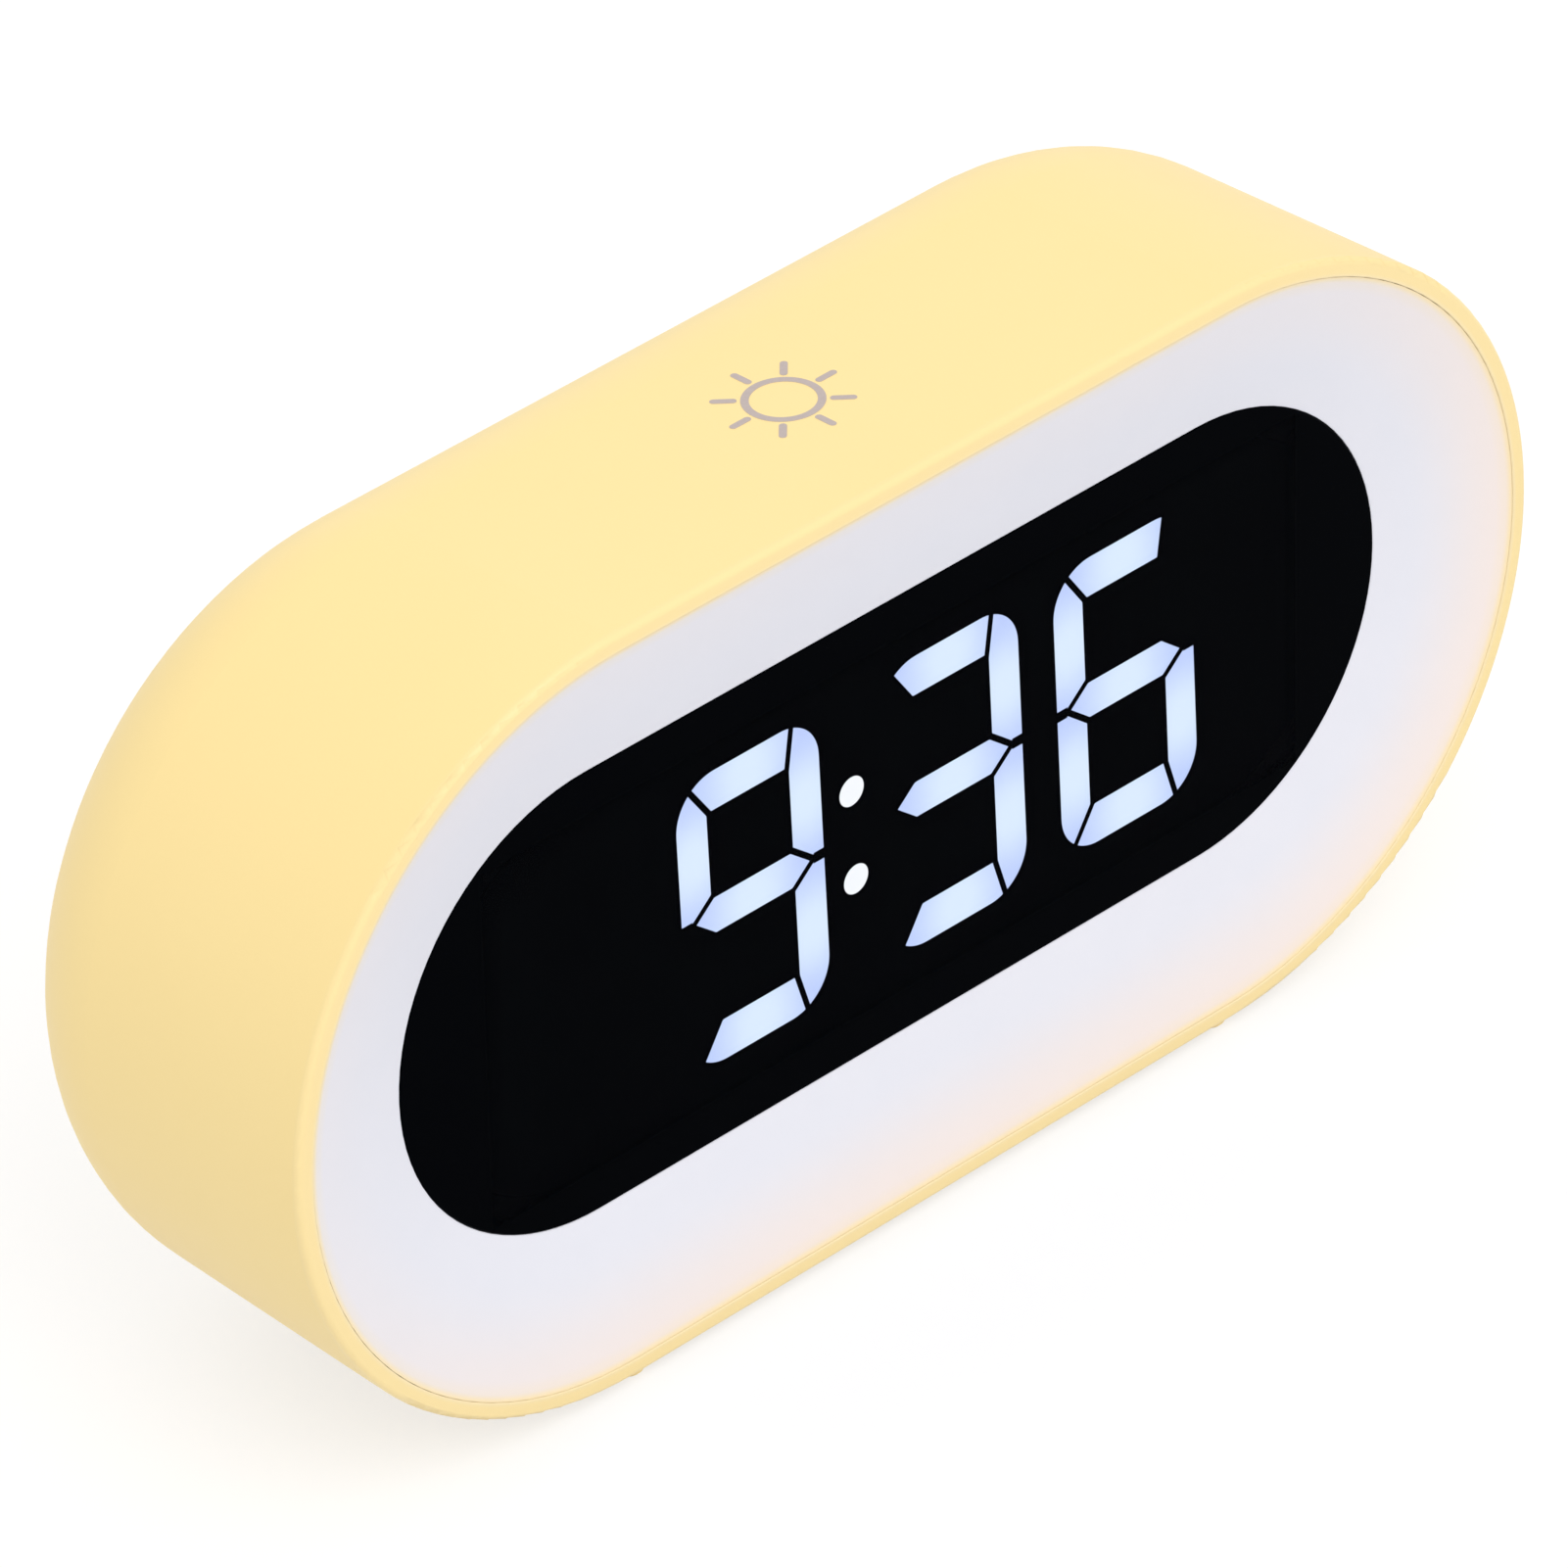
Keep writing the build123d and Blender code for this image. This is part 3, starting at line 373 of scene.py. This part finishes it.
arrow = [(-ARROW_HALF_WIDTH, ARROW_FOOT), (ARROW_HALF_WIDTH, ARROW_FOOT), (0.0, ARROW_TIP)]
arrow_up = soft_corners(arrow, ARROW_CORNER)
arrow_down = [(x, -y) for x, y in arrow_up]
bell = round_outline((0.0, BELL_RISE), BELL_RADIUS, 0.0, 180.0, 24)
bell += [(-BELL_WAIST.x, BELL_WAIST.y), (-BELL_LIP.x, BELL_LIP.y), tuple(BELL_LIP), tuple(BELL_WAIST)]
clapper = round_outline((0.0, CLAPPER_RISE), CLAPPER_RADIUS, 180.0, 180.0, 16)
signs = {
    "set": [
        (round_outline((0.0, 0.0), SET_RING_OUTER), round_outline((0.0, 0.0), SET_RING_INNER)),
        (round_outline((0.0, 0.0), SET_DOT), None),
    ],
    "up": [(arrow_up, None)],
    "down": [(arrow_down, None)],
    "alarm": [(bell, None), (clapper, None)],
}
for key in KEYS:
    top_x, top_y, top_z = key_top(key)
    key_face = Matrix((
        (-1.0, 0.0, 0.0, top_x),
        (0.0, 0.0, 1.0, top_y),
        (0.0, 1.0, 0.0, top_z),
        (0.0, 0.0, 0.0, 1.0),
    ))
    sign = bmesh.new()
    for outer, inner in signs[key]:
        lay_print(sign, key_face, outer, inner)
    printed(f"{key}_sign", sign, f"{key}_key")

# Key board and main board: glass-fibre laminate under green solder mask, with tracks that show as ridges.
# The key board is screwed to stand-offs in the case.
# The main board is clamped between the case's posts and the display frame.
TRACK_LINES = 60.0
board = Finish("solder_mask", Specular_IOR_Level=0.5)
bands = board.node(
    "ShaderNodeTexWave",
    {"wave_type": "BANDS", "bands_direction": "DIAGONAL"},
    {"Vector": board.position, "Scale": TRACK_LINES, "Distortion": 6.0, "Detail": 1.0},
)
tracks = board.ramp(bands, 0.55, 0.7)
dress(
    board.show(
        Base_Color=board.mix(tracks, tint(18, 72, 44), tint(30, 98, 60)),
        Roughness=0.35 + 0.2 * board.noise(0.8 * MM, 3.0),
        Normal=board.grain(tracks, 0.03 * MM),
    ),
    "main_board",
    "key_board",
)

# Chips, switches, plug strips and the buzzer: black epoxy and nylon with a dull, slightly pitted skin.
# They are soldered to the two boards; the inlet's contact tongue is of the same stuff.
epoxy = Finish("black_epoxy", Specular_IOR_Level=0.4)
pits = epoxy.noise(0.3 * MM, 4.0)
dress(
    epoxy.show(
        Base_Color=epoxy.mix(pits, tint(24, 24, 25), tint(40, 40, 42)),
        Roughness=0.5 + 0.25 * pits,
        Normal=epoxy.grain(pits, 0.02 * MM),
    ),
    "controller_chip",
    "link_socket",
    "link_header",
    "switch_bodies",
    "buzzer",
    "usb_tongue",
    *[f"{key}_plunger" for key in KEYS],
)


# Metal parts: zinc-plated screws and inlet sleeve, nickel-plated cell contacts, brass pins and a copper pad.
# Plating leaves fine cloudy streaks, and handling dulls it in patches.
def plated(name, bright, dull, roughness, *nodes):
    """Gives nodes a plated or bare metal finish."""
    finish = Finish(name, Metallic=1.0)
    patch = finish.noise(1.2 * MM, 4.0)
    stretch = {0: finish.position, 1: (1.0, 12.0, 1.0)}
    drawn = finish.node("ShaderNodeVectorMath", {"operation": "MULTIPLY"}, stretch)
    streak = finish.node("ShaderNodeTexNoise", {}, {"Vector": drawn, "Scale": 1 / (0.6 * MM)})
    dress(
        finish.show(
            Base_Color=finish.mix(patch, tint(*dull), tint(*bright)),
            Roughness=roughness + 0.25 * (patch - 0.5) + 0.1 * (streak - 0.5),
            Normal=finish.grain(streak, 0.004 * MM),
        ),
        *nodes,
    )


plated("zinc_plate", (214, 216, 218), (176, 178, 180), 0.34, "case_screws", "key_board_screws", "usb_socket")
plated("nickel_plate", (222, 218, 208), (190, 186, 176), 0.3, "contact_plates", "contact_springs")
plated("brass_pin", (226, 190, 110), (200, 160, 84), 0.3, "link_pins")
plated("copper_foil", (220, 146, 108), (190, 116, 80), 0.38, "touch_pad")


# Leads: stranded wire in soft insulation, red and black from the cell contacts and white from the touch pad.
# Each end is soldered, and the drawn insulation is dull and a little uneven.
def insulation(name, deep, light, node):
    """Gives a lead its coloured insulation."""
    finish = Finish(name, Specular_IOR_Level=0.4)
    ripple = finish.noise(0.7 * MM, 3.0)
    dress(
        finish.show(
            Base_Color=finish.mix(ripple, tint(*deep), tint(*light)),
            Roughness=0.45 + 0.15 * ripple,
            Normal=finish.grain(ripple, 0.03 * MM),
        ),
        node,
    )


insulation("red_insulation", (150, 20, 18), (178, 32, 28), "positive_lead")
insulation("black_insulation", (18, 18, 18), (34, 34, 34), "negative_lead")
insulation("white_insulation", (206, 204, 198), (228, 226, 220), "touch_lead")

# Diodes: flat white packages on the front of the main board, for the night light and for the figures.
# Each has a drop of yellow phosphor in a white moulded cup.
diode = Finish("diode_package", Specular_IOR_Level=0.5)
drop = diode.noise(1.2 * MM)
dress(
    diode.show(
        Base_Color=diode.mix(diode.ramp(drop, 0.4, 0.6), tint(238, 236, 228), tint(236, 214, 120)),
        Roughness=0.4 + 0.2 * drop,
    ),
    "night_light_leds",
    "digit_leds",
)

# Display frame and digit reflector: black plastic mouldings in front of the main board.
# The frame's flange carries the lens and clamps the diffuser.
# The reflector has a light well for each segment.
black = Finish("black_moulding", Specular_IOR_Level=0.02)
speckle = black.noise(0.5 * MM, 3.0)
dress(
    black.show(
        Base_Color=black.mix(speckle, tint(1, 1, 2), tint(2, 2, 4)),
        Roughness=0.7 + 0.1 * (speckle - 0.5),
        Normal=black.grain(speckle, 0.01 * MM),
    ),
    "display_frame",
    "digit_reflector",
)

# Figures: plugs of milky resin cast into the front of the light wells, each lit by a diode behind it.
# The resin is palest over its diode and bluer towards its ends, and the colon's small dots are evenly white.
# Segments that stay unlit are of smoked resin and vanish behind the lens.
FIGURE_LOW, FIGURE_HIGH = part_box("lit_segments")
DIGIT_PLACES = (-38.55 * MM, -17.05 * MM, 7.35 * MM, 28.85 * MM)
DIGIT_MIDDLE = (FIGURE_LOW[2] + FIGURE_HIGH[2]) / 2
DIGIT_LEAN = math.tan(math.radians(-2.0))
BAR_DIODE = (0.0, 0.0, 13.15 * MM)
MIDDLE_DIODE = (0.0, 0.0, 0.0)
SIDE_DIODE = (6.75 * MM, 0.0, 6.9 * MM)
LIT_STRENGTH = 3.85
CLOUD_SIZE = 1.5 * MM
CLOUD_SHIFT = 0.6 * MM


def lit_resin(name, pale, deep, spread):
    """Glowing resin: pale up to the first distance of spread from its diode, and deep from the second."""
    finish = Finish(name, Roughness=0.6, Emission_Strength=LIT_STRENGTH)
    rise = finish.along("Z") - DIGIT_MIDDLE
    upright_x = finish.along("X") - DIGIT_LEAN * rise
    across = finish.least([abs(upright_x - digit) for digit in DIGIT_PLACES])
    spot = finish.node("ShaderNodeCombineXYZ", {}, {"X": across, "Z": abs(rise)})
    ways = []
    for diode_place in (BAR_DIODE, MIDDLE_DIODE, SIDE_DIODE):
        ends = {0: spot, 1: diode_place}
        ways.append(finish.node("ShaderNodeVectorMath", {"operation": "DISTANCE"}, ends, "Value"))
    fade = finish.ramp(finish.least(ways) + CLOUD_SHIFT * finish.noise(CLOUD_SIZE), *spread)
    glow = finish.mix(fade, tint(*pale), tint(*deep))
    return finish.show(Base_Color=glow, Emission_Color=glow)


dress(lit_resin("lit_resin", (218, 234, 253), (189, 206, 251), (1.2 * MM, 7.6 * MM)), "lit_segments")
dress(lit_resin("colon_resin", (245, 248, 252), (241, 245, 252), (2.0 * MM, 12.0 * MM)), "colon_dots")

smoked_resin = Finish("smoked_resin", Roughness=0.6, Specular_IOR_Level=0.02)
haze = smoked_resin.noise(1.0 * MM)
smoke = smoked_resin.mix(haze, tint(1, 1, 2), tint(2, 2, 4))
dress(smoked_resin.show(Base_Color=smoke), "dark_segments")

# Diffuser: a dished ring moulded in milky plastic, with a skirt that goes into the case.
# It glows through when the night light is on; off, it is cool white. Towards the rim, most at the lower
# right, it carries a painted warm tint for yellow light bounced off the case, and right at its edge a
# painted yellow for the case's light coming through the thin milky skin.
# Bands, measured from the ring's edge, where painted light from the case goes on the ring.
PAINTED_BOUNCE_BAND = (-10.4 * MM, 0.1 * MM)
HINT_BAND = (-1.8 * MM, -0.6 * MM)
YELLOW_BAND = (-0.7 * MM, 0.05 * MM)

milky = Finish("milky_diffuser", IOR=1.49, Specular_IOR_Level=0.35)
past_edge = stadium_reach(milky) - RING_HALF
across = milky.along("X") / STRAIGHT_HALF
upward = (milky.along("Z") - CENTRE_Z) / RING_HALF
low_right = milky.ramp(0.45 * across - upward, -0.9, 0.9)
# Painted bounce light: a warm tint towards the rim, strongest at the lower right.
painted_bounce = milky.ramp(past_edge, *PAINTED_BOUNCE_BAND) * (0.12 + 0.65 * low_right)
# Painted light: the case's yellow at the ring's very edge, with a faint hint further in.
painted_yellow_edge = 0.15 * milky.ramp(past_edge, *HINT_BAND) + 0.6 * milky.ramp(past_edge, *YELLOW_BAND)
cloud = milky.noise(6 * MM, 3.0)
milk = milky.mix(cloud, tint(226, 227, 236), tint(230, 230, 238))
milk = milky.mix(painted_bounce, milk, tint(245, 228, 218))
dress(
    milky.show(
        Base_Color=milky.mix(painted_yellow_edge, milk, tint(*CASE_LIGHT)),
        Roughness=0.5 + 0.08 * (cloud - 0.5),
        Normal=milky.grain(milky.noise(0.3 * MM), 0.004 * MM),
    ),
    "diffuser",
)

# Lens tape: a stadium-shaped loop of black foam tape, cut from sheet.
# It sticks the lens to the frame's flange and keeps stray light off its edge.
foam = Finish("foam_tape", Roughness=0.9, Specular_IOR_Level=0.1)
cells = foam.noise(0.4 * MM, 3.0)
dress(
    foam.show(
        Base_Color=foam.mix(cells, tint(2, 2, 3), tint(5, 5, 6)),
        Normal=foam.grain(cells, 0.05 * MM),
    ),
    "lens_tape",
)

# Display lens: a stadium cut from clear acrylic sheet, let into the ring and taped to the frame behind.
# A smoked film on its face keeps it near black, and the lit figures shine through a window in it.
# Round that window a black border is printed on it, and its cut edge is painted black.
WINDOW_HALF_WIDTH = 48.7 * MM
WINDOW_HALF_HEIGHT = 17.5 * MM
WINDOW_FADE = 1.0 * MM
FILM_DEPTH = 0.2 * MM
FILM_ALPHA = 0.75
lens = Finish("smoked_lens", IOR=1.49, Specular_IOR_Level=0.007)
lens_low, lens_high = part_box("display_lens")
smear = lens.noise(9 * MM, 4.0)
film = 1 - lens.ramp(lens.along("Y"), lens_low[1] + FILM_DEPTH, lens_high[1] - FILM_DEPTH)
beside = lens.ramp(abs(lens.along("X")), WINDOW_HALF_WIDTH, WINDOW_HALF_WIDTH + WINDOW_FADE)
beyond = lens.ramp(abs(lens.along("Z") - CENTRE_Z), WINDOW_HALF_HEIGHT, WINDOW_HALF_HEIGHT + WINDOW_FADE)
border = lens.math("MAXIMUM", beside, beyond)
dress(
    lens.show(
        Base_Color=lens.mix(0.75 * border + 0.25 * smear, tint(3, 4, 7), tint(0, 1, 3)),
        Roughness=0.08 + 0.08 * smear,
        Alpha=lens.math("MAXIMUM", FILM_ALPHA * film, border),
    ),
    "display_lens",
)

# Cells: three dry cells laid head to tail in the bay, each in a shrink sleeve.
# The sleeve has a pale band at the positive end, and bare metal shows at the nub and at the flat end.
SLEEVE_START = 1.3 * MM
SLEEVE_END = 44.1 * MM
BAND_END = 9.9 * MM
LINE_START = 10.8 * MM
LINE_END = 11.5 * MM
PRINT_EDGE = 0.1 * MM
for cell_name, points in (("battery_1", -1), ("battery_2", 1), ("battery_3", -1)):
    sleeve = Finish(f"{cell_name}_sleeve", Specular_IOR_Level=0.5)
    cell_low, cell_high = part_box(cell_name)
    nub = cell_high[0] if points > 0 else cell_low[0]
    along = (nub - sleeve.along("X")) * points
    rises = {}
    for start in (SLEEVE_START, SLEEVE_END, BAND_END, LINE_START, LINE_END):
        rises[start] = sleeve.ramp(along, start, start + PRINT_EDGE)
    bare = 1 - rises[SLEEVE_START] * (1 - rises[SLEEVE_END])
    pale = sleeve.math("MAXIMUM", 1 - rises[BAND_END], rises[LINE_START] * (1 - rises[LINE_END]))
    wrinkle = sleeve.noise(1.5 * MM, 3.0)
    wrap = sleeve.mix(wrinkle, tint(34, 64, 84), tint(42, 76, 98))
    wrap = sleeve.mix(pale, wrap, tint(206, 208, 206))
    dress(
        sleeve.show(
            Base_Color=sleeve.mix(bare, wrap, tint(206, 204, 198)),
            Metallic=bare,
            Roughness=0.28 + 0.12 * wrinkle,
            Normal=sleeve.grain(wrinkle, 0.02 * MM),
        ),
        cell_name,
    )

# Battery door: a plate moulded in the case's plastic, with grip grooves under the finger scoop.
# Two tabs on its lower edge hook into the case. Thumbs have polished it round the grooves.
DOOR_LOW, DOOR_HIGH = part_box("battery_door")
GRIP_DROP = 7.0 * MM
GRIP = ((DOOR_LOW[0] + DOOR_HIGH[0]) / 2, DOOR_HIGH[1], DOOR_HIGH[2] - GRIP_DROP)
GRIP_POLISH_START = 5 * MM
GRIP_POLISH_END = 12 * MM


def grip_place(finish):
    """1 on the grip grooves, fading out round them."""
    return 1 - finish.ramp(finish.from_point(GRIP), GRIP_POLISH_START, GRIP_POLISH_END)


dress(satin_plastic("door_yellow", CASE_DEEP, CASE_LIGHT, 0.46, grip_place), "battery_door")

# Studio: a plain white floor and surround, a large soft lamp in front of the clock and a weak one behind.
# Floor and surround show as white to the camera and in reflections.
# They light the clock a little less than that.
FLOOR_HALF = 6.0
FLOOR_BOUNCE = (231, 231, 232)
FLOOR_SEEN = (160, 160, 161)
FLOOR_VEIL = (213, 213, 213)
SURROUND_LIGHT = 0.9
LAMP_SIZE = 0.9
LAMP_COLOUR = (255, 253, 250)
KEY_LAMP_PLACE = (-0.22, -0.79, 1.05)
KEY_LAMP_POWER = 5.4
FILL_LAMP_PLACE = (0.7, 0.95, 0.25)
FILL_LAMP_POWER = 0.8


def directly_seen(nodes):
    """1 for rays that show what they meet: from the camera, off a shiny surface or through glass."""
    seen = 0.0
    for kind in ("Is Camera Ray", "Is Glossy Ray", "Is Transmission Ray"):
        seen = nodes.math("MAXIMUM", nodes.node("ShaderNodeLightPath", output=kind), seen)
    return seen


floor_shape = bmesh.new()
bmesh.ops.create_grid(floor_shape, x_segments=1, y_segments=1, size=FLOOR_HALF)
floor_mesh = bpy.data.meshes.new("floor")
floor_shape.to_mesh(floor_mesh)
floor_shape.free()
paper = Finish("floor_paper", Roughness=0.9, Specular_IOR_Level=0.0, Emission_Strength=1.0)
shown = directly_seen(paper)
floor_mesh.materials.append(
    paper.show(
        Base_Color=paper.mix(shown, tint(*FLOOR_BOUNCE), tint(*FLOOR_SEEN)),
        Emission_Color=paper.mix(shown, tint(0, 0, 0), tint(*FLOOR_VEIL)),
    )
)
floor = bpy.data.objects.new("floor", floor_mesh)
bpy.context.scene.collection.objects.link(floor)

world = bpy.data.worlds.new("surround")
world.use_nodes = True
bpy.context.scene.world = world
surround = Nodes(world.node_tree)
sky = world.node_tree.nodes["Background"]
surround.feed(sky.inputs["Color"], tint(255, 255, 255))
surround.feed(sky.inputs["Strength"], SURROUND_LIGHT + (1 - SURROUND_LIGHT) * directly_seen(surround))


def soft_lamp(name, place, power):
    """A square lamp that faces the clock."""
    lamp = bpy.data.lights.new(name, "AREA")
    lamp.size = LAMP_SIZE
    lamp.energy = power
    lamp.color = tint(*LAMP_COLOUR)[:3]
    holder = bpy.data.objects.new(name, lamp)
    holder.location = place
    holder.rotation_mode = "QUATERNION"
    holder.rotation_quaternion = (Vector((0.0, 0.0, CENTRE_Z)) - Vector(place)).to_track_quat("-Z", "Y")
    holder.visible_camera = False
    bpy.context.scene.collection.objects.link(holder)


soft_lamp("key_lamp", KEY_LAMP_PLACE, KEY_LAMP_POWER)
soft_lamp("fill_lamp", FILL_LAMP_PLACE, FILL_LAMP_POWER)

# Camera: a long lens at the photograph's viewing angle.
# It stands off to the clock's left and looks down at it.
CAMERA_AZIMUTH = math.radians(-43.9)
CAMERA_ELEVATION = math.radians(34.02)
CAMERA_ROLL = math.radians(-1.39)
CAMERA_DISTANCE = 1.183
CAMERA_LENS = 319.1
CAMERA_SENSOR = 36.0
CAMERA_NEAREST = 0.01
CAMERA_FARTHEST = 50.0
CAMERA_TARGET = Vector((-17.95 * MM, FRONT_Y, CENTRE_Z + 14.05 * MM))
back = Vector((
    math.sin(CAMERA_AZIMUTH) * math.cos(CAMERA_ELEVATION),
    -math.cos(CAMERA_AZIMUTH) * math.cos(CAMERA_ELEVATION),
    math.sin(CAMERA_ELEVATION),
))
level_right = Vector((math.cos(CAMERA_AZIMUTH), math.sin(CAMERA_AZIMUTH), 0.0))
level_up = back.cross(level_right)
right = level_right * math.cos(CAMERA_ROLL) + level_up * math.sin(CAMERA_ROLL)
up = back.cross(right)
camera = bpy.data.objects.new("camera", bpy.data.cameras.new("camera"))
camera.data.lens = CAMERA_LENS
camera.data.sensor_width = CAMERA_SENSOR
camera.data.clip_start = CAMERA_NEAREST
camera.data.clip_end = CAMERA_FARTHEST
camera.matrix_world = Matrix.Translation(CAMERA_TARGET + back * CAMERA_DISTANCE) @ (
    Matrix((right, up, back)).transposed().to_4x4()
)
bpy.context.scene.collection.objects.link(camera)
bpy.context.scene.camera = camera
bpy.context.scene.view_settings.view_transform = "Standard"
